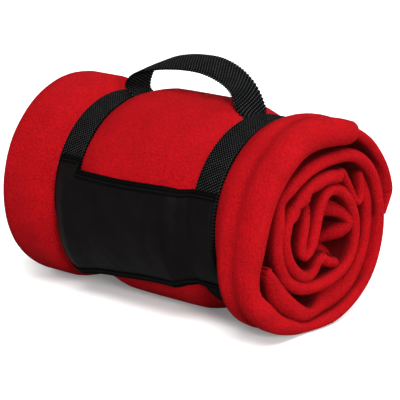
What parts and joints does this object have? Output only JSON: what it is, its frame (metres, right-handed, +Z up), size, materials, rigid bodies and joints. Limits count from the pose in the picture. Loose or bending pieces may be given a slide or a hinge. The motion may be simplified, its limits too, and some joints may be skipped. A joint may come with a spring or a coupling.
{
  "type": "rolled blanket with carry harness",
  "caption": "Fleece blanket folded, rolled and held by two webbing straps with a front panel, a carry handle on top and hook-and-loop closures behind.",
  "frame": {"origin": "middle of the roll's resting flat, on the surface it lies on", "axes": "+X along the roll towards the end that shows the folds, -Y towards the front panel, +Z up through the carry handle"},
  "size_m": [0.268, 0.1703, 0.1945],
  "materials": {
    "fleece": "napped pile, soft and matt",
    "webbing": "ribbed woven webbing, low sheen",
    "nylon": "smooth coated nylon, soft gloss",
    "binding": "fine ribbed tape, low sheen",
    "fastener": "hook and loop pile, matt",
    "thread": "twisted sewing thread, low sheen"
  },
  "bodies": {
    "harness_and_blanket": {"blanket": "fleece", "left_strap": "webbing", "left_loop_tape": "fastener", "handle_left_foot": "webbing", "handle_left_stitch": "thread", "right_strap": "webbing", "right_loop_tape": "fastener", "handle_right_foot": "webbing", "handle_right_stitch": "thread", "front_panel": "nylon", "panel_top_binding": "binding", "panel_bottom_binding": "binding", "panel_top_seam": "thread", "panel_bottom_seam": "thread", "panel_left_seam": "thread", "panel_right_seam": "thread"},
    "handle": {"carry_handle": "webbing"},
    "left_tail": {"left_strap_tail": "webbing", "left_hook_tape": "fastener", "left_tail_stitch": "thread"},
    "right_tail": {"right_strap_tail": "webbing", "right_hook_tape": "fastener", "right_tail_stitch": "thread"}
  },
  "joints": [
    {"name": "handle_swing", "type": "hinge", "parent": "harness_and_blanket", "child": "handle", "pos_m": [0, 0, 0.17197], "axis": [1, 0, 0], "range_deg": [-75, 75]},
    {"name": "left_tail_peel", "type": "hinge", "parent": "harness_and_blanket", "child": "left_tail", "pos_m": [-0.07225, 0.06213, 0.12789], "axis": [1, 0, 0], "range_deg": [0, 110]},
    {"name": "right_tail_peel", "type": "hinge", "parent": "harness_and_blanket", "child": "right_tail", "pos_m": [0.07225, 0.06213, 0.12789], "axis": [1, 0, 0], "range_deg": [0, 110]}
  ]
}
